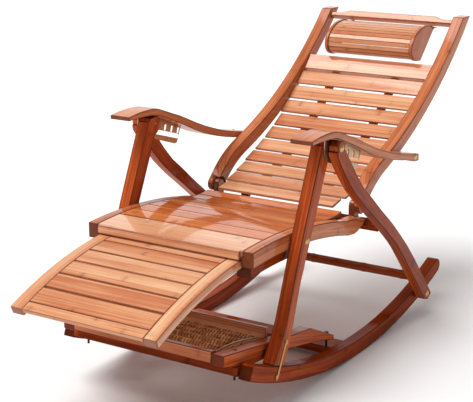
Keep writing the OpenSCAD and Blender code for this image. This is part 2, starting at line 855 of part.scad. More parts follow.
module hook_profile() {
  u = (P - E) / norm(P - E);
  n = [-u[1], u[0]];
  a = angle_of(n);
  q = P + (catch_r + hook_w / 2) * n;
  difference() {
    union() {
      translate(E) circle(hook_w);
      polygon([E + hook_w / 2 * n, E - hook_w / 2 * n, q - hook_w / 2 * n, q + hook_w / 2 * n]);
      intersection() {
        difference() {
          translate(P) circle(catch_r + hook_w);
          translate(P) circle(catch_r);
        }
        polygon([P, P + 40 * n, P + 40 * [0.4, -1], P + 40 * [0, -1]]);
      }
    }
    translate(E) circle(d = 4 + 2 * fit);
  }
}

module hook() across(hook_in, hook_in + hook_t) hook_profile();
module left_hook() color("#d8b060") side(1) hook();
module right_hook() color("#d8b060") side(-1) hook();

module hook_screws() {
  color("#d8b060") pair() {
    rod(E, 3, leg_out - 15, leg_out + 1);
    rod(E, 4, leg_out, hook_in + hook_t + 0.5);
    rod(E, 9, hook_in + hook_t + 0.3, hook_in + hook_t + 1.8);
  }
}

module hook_pins() {
  color("#d8b060") pair() {
    rod(P, hook_pin_d, leg_out - 13, hook_in + hook_t + 0.5);
    rod(P, hook_pin_d + 3, hook_in + hook_t + 0.3, hook_in + hook_t + 1.5);
  }
}

placed() left_rocker();
placed() right_rocker();
placed() front_cross_rail();
placed() rear_cross_rail();
placed() left_rear_leg();
placed() right_rear_leg();
placed() bamboo_pole();
placed() seat_rest_bar();
placed() left_front_leg();
placed() right_front_leg();
placed() left_seat_rail();
placed() right_seat_rail();
placed() front_seat_slat();
placed() seat_slats();
placed() seat_cross_rail();
placed() footrest_runners();
placed() left_footrest_rail();
placed() right_footrest_rail();
placed() footrest_slats();
placed() footrest_battens();
placed() left_back_rail();
placed() right_back_rail();
placed() top_rail();
placed() back_cross_rail();
placed() back_slats();
placed() back_battens();
placed() pillow_ends();
placed() pillow_slats();
placed() pillow_hinges();
placed() pillow_hinge_leaves();
placed() left_armrest();
placed() right_armrest();
placed() left_rack_plate();
placed() right_rack_plate();
placed() tray_left_rail();
placed() tray_right_rail();
placed() tray_front_rail();
placed() tray_back_board();
placed() tray_ribs();
placed() roller_1();
placed() roller_2();
placed() roller_3();
placed() roller_4();
placed() roller_5();
placed() rocker_bolts();
placed() top_pivot_bolts();
placed() rack_pins();
placed() seat_pivot_bolts();
placed() back_pivot_pins();
placed() arm_pivot_bolts();
placed() tray_bolts();
placed() left_hook();
placed() right_hook();
placed() hook_screws();
placed() hook_pins();
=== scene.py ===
# %% [markdown]
# A folding bamboo rocking chair
# The chair stands in its reclined pose with the footrest pulled out. Its construction comes packed
# as a fixed frame of named solids, so this lesson deals with the finish: every board gets rounded
# edges and a grain that follows its own length, the rollers get their beads, and the metal its
# polish.

# %% Load the frame
import json
import math
import random

import bmesh
import bpy
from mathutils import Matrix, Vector


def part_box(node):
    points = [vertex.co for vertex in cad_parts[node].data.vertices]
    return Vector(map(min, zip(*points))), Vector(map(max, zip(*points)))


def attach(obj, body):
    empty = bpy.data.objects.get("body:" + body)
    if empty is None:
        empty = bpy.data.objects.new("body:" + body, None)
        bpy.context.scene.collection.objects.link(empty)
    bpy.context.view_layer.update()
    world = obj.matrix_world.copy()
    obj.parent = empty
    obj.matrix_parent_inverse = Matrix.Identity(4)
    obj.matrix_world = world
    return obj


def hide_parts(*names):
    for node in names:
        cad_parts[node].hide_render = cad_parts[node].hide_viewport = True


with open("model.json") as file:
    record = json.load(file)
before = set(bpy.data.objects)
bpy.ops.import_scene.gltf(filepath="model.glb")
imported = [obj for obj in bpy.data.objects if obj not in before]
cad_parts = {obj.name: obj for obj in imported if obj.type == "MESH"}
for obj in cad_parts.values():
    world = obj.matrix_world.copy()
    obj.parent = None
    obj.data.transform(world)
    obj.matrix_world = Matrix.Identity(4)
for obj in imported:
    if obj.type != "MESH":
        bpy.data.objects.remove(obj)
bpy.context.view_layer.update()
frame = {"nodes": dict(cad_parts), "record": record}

# %% [markdown]
# Drawing coordinates
# The side profile was drawn in millimetres, with Y along the chair and Z up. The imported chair
# stands with the middle of its length over the origin, so a drawn point moves forward by a few
# millimetres. One small function does that for every curve below. The seat, the footrest, the back
# and the rockers are round arcs, and each is kept as a centre and a radius.

# %% From the drawing to the frame
MIDDLE = 6.546
SEAT_ARC = (-360, -1150), 1577
FOOTREST_ARC = (-374, -698), 1100
BACK_ARC = (-120, 1444), 1050
BACK_RAIL_ARC = (-205, 1813.5), 1397
ROCKER_ARC = (70, 1500), 1479


def spot(y, z):
    """A drawn point in metres: along the chair, then up."""
    return Vector(((y - MIDDLE) / 1000, z / 1000))


print("the rockers touch the floor at y =", round(spot(*ROCKER_ARC[0]).x, 4))

# %% [markdown]
# The camera
# A long lens from the front, on the side of the sitter's left arm, looks a little down on the
# chair. A wider lens from nearby could show it at the same size, but with a seat that narrows too
# fast. This place was solved from the side profile, so the width, the height and the
# foreshortening of the seat all agree with one lens. The lens is given in pixels of a picture 473
# wide.

# %% Camera
CAMERA_TURN = math.radians(32.03)
CAMERA_RISE = math.radians(15.49)
CAMERA_AWAY = 3.3198
CAMERA_AIM = spot(-150, 440)
LENS_PIXELS, PICTURE_WIDTH = 1246.6, 473
SENSOR_WIDTH = 36

look_at = Vector((0, CAMERA_AIM.x, CAMERA_AIM.y))
camera_data = bpy.data.cameras.new("camera")
camera_data.sensor_width = SENSOR_WIDTH
camera_data.sensor_fit = "HORIZONTAL"
camera_data.lens = SENSOR_WIDTH * LENS_PIXELS / PICTURE_WIDTH
camera = bpy.data.objects.new("camera", camera_data)
bpy.context.scene.collection.objects.link(camera)
camera.location = look_at + CAMERA_AWAY * Vector((
    math.sin(CAMERA_TURN) * math.cos(CAMERA_RISE),
    -math.cos(CAMERA_TURN) * math.cos(CAMERA_RISE),
    math.sin(CAMERA_RISE),
))
camera.rotation_euler = (look_at - camera.location).to_track_quat("-Z", "Y").to_euler()
bpy.context.scene.camera = camera
print("camera at", [round(c, 3) for c in camera.location])

# %% [markdown]
# Floor
# The studio is white: a pale floor under a dim even sky. The floor lies half a millimetre under the
# rockers, so that the two surfaces never flicker through each other.

# %% Floor and sky
FLOOR_REACH = 12
FLOOR_DROP = 0.0005
PALE = (0.9, 0.9, 0.9, 1)
SKY_STRENGTH = 0.4


def make_floor():
    bm = bmesh.new()
    bmesh.ops.create_grid(bm, x_segments=1, y_segments=1, size=FLOOR_REACH)
    bmesh.ops.translate(bm, verts=bm.verts, vec=(0, 0, -FLOOR_DROP))
    mesh = bpy.data.meshes.new("floor")
    bm.to_mesh(mesh)
    bm.free()
    floor = bpy.data.objects.new("floor", mesh)
    bpy.context.scene.collection.objects.link(floor)
    paper = bpy.data.materials.new("pale_floor")
    paper.use_nodes = True
    shader = paper.node_tree.nodes["Principled BSDF"]
    shader.inputs["Base Color"].default_value = PALE
    shader.inputs["Roughness"].default_value = 0.85
    shader.inputs["Specular IOR Level"].default_value = 0.2
    mesh.materials.append(paper)


world = bpy.data.worlds.new("studio")
world.use_nodes = True
sky = world.node_tree.nodes["Background"]
sky.inputs["Color"].default_value = (1, 1, 1, 1)
sky.inputs["Strength"].default_value = SKY_STRENGTH
bpy.context.scene.world = world
bpy.context.scene.view_settings.view_transform = "Standard"
make_floor()
print("the floor reaches", FLOOR_REACH, "m each way")

# %% [markdown]
# Light
# A wide soft sun, high on the left of the picture, lights the floor and the tops of the boards
# alike, while the sides stay deep. Lacquer shows what surrounds it, so a wide white panel hangs far
# behind the chair, and the seat mirrors it in streaks between the mirrored legs.

# %% Lamps
def hang_lamp(name, kind, place, aim, power):
    data = bpy.data.lights.new(name, kind)
    data.energy = power
    lamp = bpy.data.objects.new(name, data)
    lamp.location = place
    lamp.rotation_euler = (Vector(aim) - Vector(place)).to_track_quat("-Z", "Y").to_euler()
    bpy.context.scene.collection.objects.link(lamp)
    return data


sun = hang_lamp("sun", "SUN", place=(-1.2, -1.6, 4.0), aim=(0, 0, 0), power=2.8)
sun.angle = math.radians(40)
panel = hang_lamp("panel", "AREA", place=(-2.6, 3.9, 1.75), aim=(0, -0.2, 0.42), power=30)
panel.shape, panel.size, panel.size_y = "RECTANGLE", 5.2, 2.0

# %% [markdown]
# Ways along a board
# Bamboo fibres run the length of a board, also where the board is cut to a curve. A texture laid
# by straight axes would cut through the bend. A way is a function that takes a point and says how
# far along the board it lies and how far across, so a grain drawn in these two numbers bends with
# the piece. Most pieces follow a round arc. The legs, arms, tray and pillow ends follow a short run
# of straight stretches, which needs no more than a handful of points each.

# %% Ways
def round_way(arc, hangs):
    """Along an arc; hangs is True when its centre lies above it."""
    centre, radius = arc
    middle, r = spot(*centre), radius / 1000
    turn = -1 if hangs else 1

    def way(point):
        dy, dz = point.y - middle.x, turn * (point.z - middle.y)
        return r * math.atan2(dy, dz), turn * (math.hypot(dy, dz) - r)

    return way


def bent_way(*drawn):
    """Along the nearest stretch of a run of lines, of which the outer two go on past their ends."""
    points = [spot(*p) for p in drawn]
    clearly_nearer = 1e-6

    def way(point):
        here, gone, best = Vector((point.y, point.z)), 0.0, None
        for a, b in zip(points, points[1:]):
            line = b - a
            share = (here - a).dot(line) / line.length_squared
            share = max(share, 0.0) if a is not points[0] else share
            share = min(share, 1.0) if b is not points[-1] else share
            off = here - (a + line * share)
            side = math.copysign(off.length, line.x * off.y - line.y * off.x)
            if best is None or off.length < best[0] - clearly_nearer:
                best = (off.length, gone + share * line.length, side)
            gone += line.length
        return best[1], best[2]

    return way


seat_way = round_way(SEAT_ARC, False)
footrest_way = round_way(FOOTREST_ARC, False)
back_way = round_way(BACK_ARC, True)
back_rail_way = round_way(BACK_RAIL_ARC, True)
rocker_way = round_way(ROCKER_ARC, True)
rear_leg_way = bent_way((-165, 630), (-76, 510), (16, 437), (116, 360),
                        (195, 290), (250, 245), (378, 107), (425, 50))
front_leg_way = bent_way((-175, 640), (-316, 312), (-352, 216), (-412, 112))
arm_way = bent_way((-293, 660), (-240, 663), (-172, 660), (-100, 634), (0, 596),
                   (145, 543), (207, 527), (318, 500), (343, 499))
tray_way = bent_way((-590, 189), (-354, 150), (-200, 120), (-33, 64))
pillow_way = bent_way((675, 716), (620, 745), (612, 775), (650, 808), (700, 820), (775, 806))
level_way = bent_way((-900, 0), (900, 0))
mid_seat = Vector((0, -0.3, 0.42))
print("a point in the middle of the seat lies", round(seat_way(mid_seat)[0], 3), "m along it")

# %% [markdown]
# Small helpers for material nodes
# A procedural finish is a chain of small sums. Built by hand each sum takes four lines, so these
# helpers keep such a chain readable: one adds a node and fills or links its inputs, one does a
# single sum, and one adds up several numbers by their weights.

# %% Node helpers
def add(tree, kind, settings=None, **inputs):
    """Adds a node. An input goes by its label, with _ for a space, or by its number, as in0."""
    node = tree.nodes.new(kind)
    for key, value in (settings or {}).items():
        setattr(node, key, value)
    for key, value in inputs.items():
        numbered = key.startswith("in") and key[2:].isdigit()
        socket = node.inputs[int(key[2:]) if numbered else key.replace("_", " ")]
        if isinstance(value, bpy.types.NodeSocket):
            tree.links.new(value, socket)
        else:
            socket.default_value = value
    return node


def calc(tree, operation, a, b=0.0, clamp=False):
    node = add(tree, "ShaderNodeMath", {"operation": operation, "use_clamp": clamp}, in0=a, in1=b)
    return node.outputs[0]


def weigh_up(tree, *weighed):
    """The sum of some numbers, each times its weight."""
    total = None
    for number, weight in weighed:
        share = calc(tree, "MULTIPLY", number, weight)
        total = share if total is None else calc(tree, "ADD", total, share)
    return total


def blend_colours(tree, amount, a, b):
    return add(tree, "ShaderNodeMix", {"data_type": "RGBA"}, in0=amount, in6=a, in7=b).outputs[2]


print("node helpers ready: add, calc, weigh_up, blend_colours")

# %% [markdown]
# Starting a finish
# Colours are named as the eye reads them on a screen, in steps of 0 to 255. A shader wants the
# light that such a step stands for, so the screen's standard curve is undone first. Each finish
# then starts from a plain shader, and ends with its colour, gloss and bump linked to that shader.

# %% Colours and plain shaders
def paint(red, green, blue):
    """A colour in screen steps, as the light it stands for."""
    light = [((c / 255 + 0.055) / 1.055) ** 2.4 if c > 10 else c / 3295 for c in (red, green, blue)]
    return (*light, 1)


def new_finish(name):
    material = bpy.data.materials.new(name)
    material.use_nodes = True
    return material, material.node_tree, material.node_tree.nodes["Principled BSDF"]


def link_finish(tree, shader, colour, gloss, bump):
    tree.links.new(colour, shader.inputs["Base Color"])
    tree.links.new(gloss, shader.inputs["Roughness"])
    tree.links.new(bump.outputs[0], shader.inputs["Normal"])


print("middle grey as light:", [round(c, 3) for c in paint(128, 128, 128)])

# %% [markdown]
# The map of a board
# The bamboo pattern reads the board's own map, where the first number runs along the grain and the
# second across it, both in metres. Three small attributes help: a tone for each board, a mark on
# the rounded edges, which carries painted shade, the dark line that the gaps between the boards
# show, and makes the lacquer there a little rougher from wear, and a mark on the sawn ends, which
# drink the lacquer and turn dark. Attributes do this better than a mask in an image, because they
# ride on the mesh at any size, and a mesh without a mark reads it as nought.

# %% Board map and fibres
FIBRE_ROUGHNESS = 0.6


def read_board(tree):
    """What a board's map and marks say at each point."""
    grain_map = add(tree, "ShaderNodeUVMap", {"uv_map": "grain"})
    split = add(tree, "ShaderNodeSeparateXYZ", Vector=grain_map.outputs[0])
    board = {"along": split.outputs[0], "across": split.outputs[1]}
    # The edge mark carries painted shade on the rounded edges, and a little rougher lacquer from wear.
    for mark in ("tone", "edge_shade_and_wear", "sawn"):
        board[mark] = add(tree, "ShaderNodeAttribute", {"attribute_name": mark}).outputs["Fac"]
    return board


def fibres(tree, board, along, across, detail, seed):
    """Noise with so many waves to the metre along and across, and other waves on each board."""
    place = add(tree, "ShaderNodeCombineXYZ",
                X=calc(tree, "MULTIPLY", board["along"], along),
                Y=calc(tree, "MULTIPLY", board["across"], across),
                Z=calc(tree, "MULTIPLY", board["tone"], seed))
    noise = add(tree, "ShaderNodeTexNoise", Vector=place.outputs[0], Scale=1.0, Detail=detail,
                Roughness=FIBRE_ROUGHNESS)
    return noise.outputs["Fac"]


def thrown(tree, **numbers):
    """A chance number from 0 to 1, thrown anew wherever one of the numbers changes."""
    place = add(tree, "ShaderNodeCombineXYZ", **numbers)
    throw = add(tree, "ShaderNodeTexWhiteNoise", {"noise_dimensions": "3D"}, Vector=place.outputs[0])
    return throw.outputs["Value"]


print("each board reads its map and three marks")

# %% [markdown]
# Strips and cane joints
# A bamboo board is glued up from strips about two centimetres wide, with a thin seam between two.
# Each strip keeps the joints of its cane, which show as short smudges across the strip, a hand's
# length and a half apart, and no two strips line up. A brick texture would repeat them evenly, so
# each strip is slid along by chance instead, and each joint gets a depth of its own.

# %% Strips and joints
STRIP = 0.0205
CANE_JOINT = 0.27
JOINT_LINE, JOINT_HALO = 0.0035, 0.016
JOINT_WANDER = 0.010
SEAM_FROM = 0.485
BOARD_SEED = 37.0


def cane_strips(tree, board):
    """The tone and seams of a board's strips, and the lines, halos and depths of their joints."""
    strips_across = calc(tree, "DIVIDE", board["across"], STRIP)
    strip = calc(tree, "FLOOR", strips_across)
    board_number = calc(tree, "MULTIPLY", board["tone"], BOARD_SEED)
    strip_tone = thrown(tree, X=strip, Y=board_number)
    wander = fibres(tree, board, along=30.0, across=300.0, detail=2.0, seed=5.0)
    slid = calc(tree, "ADD", board["along"], calc(tree, "MULTIPLY", strip_tone, CANE_JOINT))
    slid = calc(tree, "ADD", slid, calc(tree, "MULTIPLY", wander, JOINT_WANDER))
    canes = calc(tree, "DIVIDE", slid, CANE_JOINT)
    depth = thrown(tree, X=strip, Y=board_number, Z=calc(tree, "FLOOR", canes))

    def from_middle(number):
        """How far a number lies from the middle between two whole ones."""
        return calc(tree, "ABSOLUTE", calc(tree, "SUBTRACT", calc(tree, "FRACT", number), 0.5))

    def within(reach):
        """One on the joint, and nought from the reach on."""
        return calc(tree, "SUBTRACT", 1.0, calc(tree, "DIVIDE", away, reach), clamp=True)

    away = calc(tree, "MULTIPLY", from_middle(canes), CANE_JOINT)
    return {
        "tone": strip_tone,
        "depth": calc(tree, "MULTIPLY", depth, depth),
        "line": within(JOINT_LINE),
        "halo": within(JOINT_HALO),
        "seam": calc(tree, "GREATER_THAN", from_middle(strips_across), SEAM_FROM),
    }


print("strips", STRIP, "m wide, joints", CANE_JOINT, "m apart")

# %% [markdown]
# Lacquered bamboo
# Between the joints run fine straight fibres. The steamed wood is caramel brown, and a clear gloss
# lacquer lies on top, so the shader gets a coat over a duller wood. The level of the wood is one
# sum of cloud, fibre, strip, streak and board tone, read off a ramp of three browns. All that is
# darker than the wood, such as joints, flecks, seams and sawn ends, blends towards one fourth brown,
# and so does painted shade on the rounded edges, the dark line of the gaps between the boards.

# %% Bamboo finish
RAMP_MIDDLE, RAMP_END = 0.36, 0.72
LEVEL_START = 0.94
COAT_ROUGHNESS, COAT_IOR = 0.07, 1.5


def wood_colour(tree, board, strips, browns, broad, fibre):
    light, middle, deep, joint = browns
    streak = fibres(tree, board, along=2.2, across=210.0, detail=2.0, seed=41.0)
    fleck = fibres(tree, board, along=70.0, across=2600.0, detail=2.0, seed=31.0)
    pores = fibres(tree, board, along=900.0, across=900.0, detail=1.0, seed=17.0)
    level = weigh_up(tree, (broad, 0.55), (fibre, 0.34), (strips["tone"], 0.34), (streak, 0.9),
                     (board["tone"], 0.26))
    level = calc(tree, "SUBTRACT", level, LEVEL_START, clamp=True)
    ramp = add(tree, "ShaderNodeValToRGB", Fac=level)
    start, end = ramp.color_ramp.elements
    start.color, start.position = deep, 0.0
    end.color, end.position = light, RAMP_END
    ramp.color_ramp.elements.new(RAMP_MIDDLE).color = middle

    halo = calc(tree, "MULTIPLY", strips["halo"], calc(tree, "MULTIPLY", strips["depth"], 0.42))
    line = calc(tree, "MULTIPLY", strips["line"], calc(tree, "MULTIPLY", strips["depth"], 0.6))
    fleck = calc(tree, "MULTIPLY", calc(tree, "SUBTRACT", fleck, 0.58, clamp=True), 1.6, clamp=True)
    seam = calc(tree, "MULTIPLY", strips["seam"], 0.3)
    # Painted shade: the rounded edges darken towards the joint brown in patches of the broad cloud, as
    # the dark line of the gaps between boards.
    painted_edge_shade = calc(tree, "MULTIPLY", board["edge_shade_and_wear"], calc(tree, "MULTIPLY", broad, 1.3), clamp=True)
    drunk = calc(tree, "ADD", calc(tree, "MULTIPLY", pores, 0.4), 0.62)
    sawn_end = calc(tree, "MULTIPLY", board["sawn"], drunk, clamp=True)
    colour = ramp.outputs[0]
    for amount in (halo, line, fleck, seam, painted_edge_shade, sawn_end):
        colour = blend_colours(tree, amount, colour, joint)
    return colour


def bamboo(name, browns, roughness, coat, sheen):
    material, tree, shader = new_finish(name)
    board = read_board(tree)
    strips = cane_strips(tree, board)
    broad = fibres(tree, board, along=5.0, across=26.0, detail=3.0, seed=11.0)
    fibre = fibres(tree, board, along=16.0, across=900.0, detail=3.0, seed=23.0)
    ripple = fibres(tree, board, along=55.0, across=55.0, detail=2.0, seed=3.0)
    colour = wood_colour(tree, board, strips, [paint(*brown) for brown in browns], broad, fibre)
    gloss = weigh_up(tree, (fibre, 0.14), (board["edge_shade_and_wear"], 0.08))
    gloss = calc(tree, "ADD", gloss, roughness - 0.07)
    height = weigh_up(tree, (fibre, 0.25), (strips["line"], 0.5), (ripple, 0.5))
    bump = add(tree, "ShaderNodeBump", Strength=0.32, Distance=0.0006, Height=height)
    link_finish(tree, shader, colour, gloss, bump)
    shader.inputs["Specular IOR Level"].default_value = sheen
    shader.inputs["Coat Weight"].default_value = coat
    shader.inputs["Coat Roughness"].default_value = COAT_ROUGHNESS
    shader.inputs["Coat IOR"].default_value = COAT_IOR
    return material


print("the wood turns from deep to light between", LEVEL_START, "and", LEVEL_START + RAMP_END)

# %% [markdown]
# One pattern, seven finishes
# The slats are the palest wood, the seat and the arms are warmer, the legs are redder, and the
# rockers and hidden bars are the darkest. The pole is as dark as they are, and the beads and ribs
# of the foot rollers are pale, with little lacquer. A row gives the light, middle and deep brown,
# the brown of the joints, and then the roughness, the weight of the coat and the sheen.

# %% Bamboo finishes
BAMBOOS = {
    "slat_bamboo": (((238, 192, 150), (224, 158, 114), (194, 112, 70), (124, 54, 24)), 0.3, 0.7, 0.1),
    "seat_bamboo": (((230, 150, 90), (208, 116, 60), (170, 78, 30), (94, 36, 12)), 0.3, 0.7, 0.0),
    "mid_bamboo": (((220, 150, 106), (198, 114, 70), (156, 74, 36), (88, 34, 12)), 0.3, 0.35, 0.05),
    "frame_bamboo": (((224, 128, 66), (192, 88, 40), (140, 52, 18), (80, 27, 9)), 0.3, 0.2, 0.03),
    "dark_bamboo": (((200, 96, 38), (158, 62, 20), (110, 40, 10), (60, 20, 6)), 0.3, 0.2, 0.0),
    "pole_bamboo": (((196, 96, 42), (150, 62, 22), (98, 38, 13), (46, 18, 8)), 0.3, 0.4, 0.0),
    "roller_bamboo": (((255, 214, 158), (228, 162, 100), (164, 94, 50), (84, 38, 16)), 0.42, 0.2, 0.2),
}
FINISHES = {name: bamboo(name, *row) for name, row in BAMBOOS.items()}
print("bamboo finishes:", ", ".join(FINISHES))

# %% [markdown]
# Metal
# The hooks, bolts and hinges are brass plated, the racks are sheet steel with a yellow zinc
# plating, and the four tray screws are black. Small metal parts look flat with one roughness, so a
# soft cloud of noise varies each gloss, and fine scratches break the highlight. The scratches are
# the same noise, squeezed along one axis.

# %% Metal finishes
CLOUD_SCALE = 90.0
SCRATCH_SCALE = (1500.0, 120.0, 120.0)


def metal(name, bright, dull, roughness, metallic=1.0):
    material, tree, shader = new_finish(name)
    place = add(tree, "ShaderNodeTexCoord").outputs["Object"]
    cloud = add(tree, "ShaderNodeTexNoise", Vector=place, Scale=CLOUD_SCALE, Detail=4.0).outputs["Fac"]
    squeezed = add(tree, "ShaderNodeMapping", Vector=place, Scale=SCRATCH_SCALE).outputs[0]
    scratch = add(tree, "ShaderNodeTexNoise", Vector=squeezed, Scale=1.0, Detail=2.0).outputs["Fac"]
    tarnish = calc(tree, "MULTIPLY", cloud, 0.9, clamp=True)
    colour = blend_colours(tree, tarnish, paint(*bright), paint(*dull))
    gloss = calc(tree, "ADD", weigh_up(tree, (cloud, 0.22), (scratch, 0.12)), roughness - 0.17)
    bump = add(tree, "ShaderNodeBump", Strength=0.2, Distance=0.0002, Height=scratch)
    link_finish(tree, shader, colour, gloss, bump)
    shader.inputs["Metallic"].default_value = metallic
    return material


FINISHES["brass"] = metal("brass", (222, 184, 118), (168, 126, 66), 0.32)
FINISHES["rack_steel"] = metal("rack_steel", (206, 178, 146), (150, 122, 92), 0.36)
FINISHES["black_screw"] = metal("black_screw", (40, 37, 36), (24, 22, 22), 0.4, metallic=0.5)
print("metal finishes ready, in all", len(FINISHES))

# %% [markdown]
# Laying the grain map
# A node may hold several boards, such as all the slats of the back. Each loose board gets its own
# tone, and its own place on the map, so that no two show the same joints. The map is laid by the
# way of the piece. A face that looks along the grain is a sawn end: its way is measured a little
# ahead of it and compared.

# %% Grain map
AHEAD = 0.002
SAWN_FROM = 0.85


def boards_of(bm):
    """The separate boards of a mesh, each as a list of its vertices."""
    unseen, boards = set(bm.verts), []
    while unseen:
        front, board = [unseen.pop()], []
        while front:
            vert = front.pop()
            board.append(vert)
            for edge in vert.link_edges:
                other = edge.other_vert(vert)
                if other in unseen:
                    unseen.remove(other)
                    front.append(other)
        boards.append(board)
    return sorted(boards, key=lambda board: [min(v.co[axis] for v in board) for axis in (1, 0, 2)])


def map_grain(bm, way, crosswise, seed):
    """Lays the grain map over each board: along first, then across."""
    dice = random.Random(seed)
    tone = bm.verts.layers.float.new("tone")
    chart = bm.loops.layers.uv.new("grain")
    sawn = bm.faces.layers.float.new("sawn")
    bm.normal_update()
    for board in boards_of(bm):
        shade, slide, skip = dice.random(), dice.uniform(0, 3), dice.uniform(0, 1)
        for vert in board:
            vert[tone] = shade
            run, off = way(vert.co)
            u, v = (vert.co.x, run + off) if crosswise else (run, vert.co.x + off)
            for loop in vert.link_loops:
                loop[chart].uv = (u + slide, v + skip)
    for face in bm.faces:
        place, facing = face.calc_center_median(), face.normal
        if crosswise:
            along = facing.x
        else:
            along = (way(place + facing * AHEAD)[0] - way(place)[0]) / AHEAD
        face[sawn] = 1.0 if abs(along) > SAWN_FROM else 0.0


print("a face is a sawn end from", SAWN_FROM, "along the grain")

# %% [markdown]
# From mesh to piece
# Every new piece takes the place of one node of the construction and moves with the same body.
# The weighted normals keep the big flat faces flat in the light, and leave the turn to the rounded
# edges, which saves a much finer mesh.

# %% Pieces
FLAT_WEIGHT = 50
BODIES = frame["record"]["behaviour"]["bodies"]


def body_of(node):
    return next(body for body, nodes in BODIES.items() if node in nodes)


def finish_piece(bm, node, ending, slot, even_shading=True):
    name = node + ending
    mesh = bpy.data.meshes.new(name)
    bm.to_mesh(mesh)
    bm.free()
    mesh.materials.append(FINISHES[slot])
    piece = bpy.data.objects.new(name, mesh)
    bpy.context.scene.collection.objects.link(piece)
    if even_shading:
        piece.modifiers.new("even_shading", "WEIGHTED_NORMAL").weight = FLAT_WEIGHT
    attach(piece, body_of(node))
    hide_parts(node)


print("bodies in the chair:", len(BODIES))

# %% [markdown]
# Rounding a board
# Sawn boards are eased before they are lacquered: no edge on this chair is sharp. A bevel modifier
# would round the rims of the bolt holes too, so the bevel is cut in the mesh, on chosen edges. It
# is cut into a merged copy of each solid, because a solid arrives as loose triangles. Flat faces
# are first joined again, so that the bevel meets clean outlines. The rims of bolt holes stay as
# they are, because their edges are too short to be chosen.

# %% Rounding
SAME_POINT = 0.00002
SAME_PLANE = math.radians(0.2)
CORNER = 28
BEVEL_STEPS = 3


def merged_copy(node):
    bm = bmesh.new()
    bm.from_mesh(frame["nodes"][node].data)
    bmesh.ops.remove_doubles(bm, verts=bm.verts, dist=SAME_POINT)
    return bm


def smooth_faces(bm):
    for face in bm.faces:
        face.smooth = True


def eased(node, slot, way, crosswise=False, radius=0.0025, rim=0.0022, corner=CORNER):
    """Rounds the corners of a piece, apart from edges that are no longer than a rim's."""
    bm = merged_copy(node)
    bmesh.ops.dissolve_limit(bm, angle_limit=SAME_PLANE, verts=bm.verts, edges=bm.edges)
    # The rounded edges get painted shade, the dark line of the gaps between boards, and a little
    # rougher lacquer from wear.
    edge_shade_and_wear = bm.faces.layers.float.new("edge_shade_and_wear")
    sharp = [e for e in bm.edges if len(e.link_faces) == 2 and e.calc_length() > rim
             and e.calc_face_angle(0) > math.radians(corner)]
    cut = bmesh.ops.bevel(bm, geom=sharp, offset=radius, offset_type="OFFSET", segments=BEVEL_STEPS,
                          affect="EDGES", profile=0.5, material=-1, clamp_overlap=False)
    # Every bevel face is marked for the painted edge shade and the rougher lacquer.
    for face in cut["faces"]:
        face[edge_shade_and_wear] = 1.0
    smooth_faces(bm)
    map_grain(bm, way, crosswise, node)
    finish_piece(bm, node, "_eased", slot)


print("a bevel takes", BEVEL_STEPS, "steps")

# %% [markdown]
# The boards
# One line a board: its name, its finish and the way that its grain runs. The rockers, legs, rails,
# battens and arms lie along the chair. The slats, cross rails and the rest bar run across it, and
# they also name the radius of their edges, which is smaller on a thin slat.

# %% Boards along the chair
BOARDS_ALONG = [
    ("left_rocker", "dark_bamboo", rocker_way), ("right_rocker", "dark_bamboo", rocker_way),
    ("left_rear_leg", "frame_bamboo", rear_leg_way), ("right_rear_leg", "frame_bamboo", rear_leg_way),
    ("left_front_leg", "frame_bamboo", front_leg_way),
    ("right_front_leg", "frame_bamboo", front_leg_way),
    ("left_seat_rail", "mid_bamboo", seat_way), ("right_seat_rail", "mid_bamboo", seat_way),
    ("footrest_runners", "dark_bamboo", seat_way),
    ("left_footrest_rail", "slat_bamboo", footrest_way),
    ("right_footrest_rail", "slat_bamboo", footrest_way),
    ("footrest_battens", "dark_bamboo", footrest_way),
    ("left_back_rail", "mid_bamboo", back_rail_way), ("right_back_rail", "mid_bamboo", back_rail_way),
    ("back_battens", "dark_bamboo", back_way),
    ("pillow_ends", "mid_bamboo", pillow_way),
    ("left_armrest", "mid_bamboo", arm_way), ("right_armrest", "mid_bamboo", arm_way),
    ("tray_left_rail", "frame_bamboo", tray_way), ("tray_right_rail", "frame_bamboo", tray_way),
    ("tray_ribs", "roller_bamboo", tray_way),
]
for node, slot, way in BOARDS_ALONG:
    eased(node, slot, way)
print("boards along the chair:", len(BOARDS_ALONG))

# %% Boards across the chair
BOARDS_ACROSS = [
    ("front_cross_rail", "dark_bamboo", level_way, 0.0025),
    ("rear_cross_rail", "dark_bamboo", level_way, 0.0025),
    ("seat_rest_bar", "dark_bamboo", level_way, 0.002),
    ("seat_cross_rail", "dark_bamboo", level_way, 0.002),
    ("front_seat_slat", "slat_bamboo", seat_way, 0.003),
    ("seat_slats", "seat_bamboo", seat_way, 0.002),
    ("footrest_slats", "slat_bamboo", footrest_way, 0.002),
    ("top_rail", "slat_bamboo", back_rail_way, 0.003),
    ("back_cross_rail", "slat_bamboo", back_way, 0.002),
    ("back_slats", "slat_bamboo", back_way, 0.0018),
    ("pillow_slats", "slat_bamboo", level_way, 0.0009),
    ("tray_front_rail", "mid_bamboo", level_way, 0.002),
    ("tray_back_board", "slat_bamboo", level_way, 0.002),
]
for node, slot, way, radius in BOARDS_ACROSS:
    eased(node, slot, way, crosswise=True, radius=radius)
print("boards across the chair:", len(BOARDS_ACROSS))

# %% [markdown]
# Hardware
# Metal edges are only just broken, so the same tool rounds them with a much smaller radius. The two
# toothed racks are stamped from sheet, and they aren't rounded at all: joining their flat faces
# again would close the long slot that the pins slide in. Their corners are marked as sharp instead.

